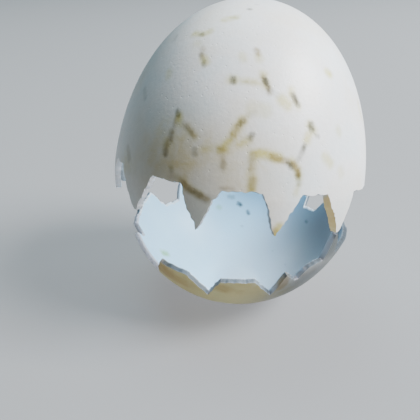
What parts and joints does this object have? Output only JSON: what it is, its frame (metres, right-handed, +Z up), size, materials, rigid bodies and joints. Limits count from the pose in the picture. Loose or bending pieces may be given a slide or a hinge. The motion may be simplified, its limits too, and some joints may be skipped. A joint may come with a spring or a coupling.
{
  "type": "cracked eggshell",
  "caption": "Empty cracked hen's eggshell: a shallow lower shell with a notched rim, and a tall tilted upper shell standing on it on long pointed teeth.",
  "frame": {"origin": "centre of the small flat under the lower shell, on the surface it rests on", "axes": "+Z up along the lower shell's axis, -Y to the front, where the crack gapes widest"},
  "size_m": [0.0449, 0.0447, 0.0544],
  "materials": {
    "lower_shell": "matte",
    "upper_shell": "matte"
  },
  "bodies": {
    "root": {"lower_shell": "lower_shell", "upper_shell": "upper_shell"}
  },
  "joints": []
}
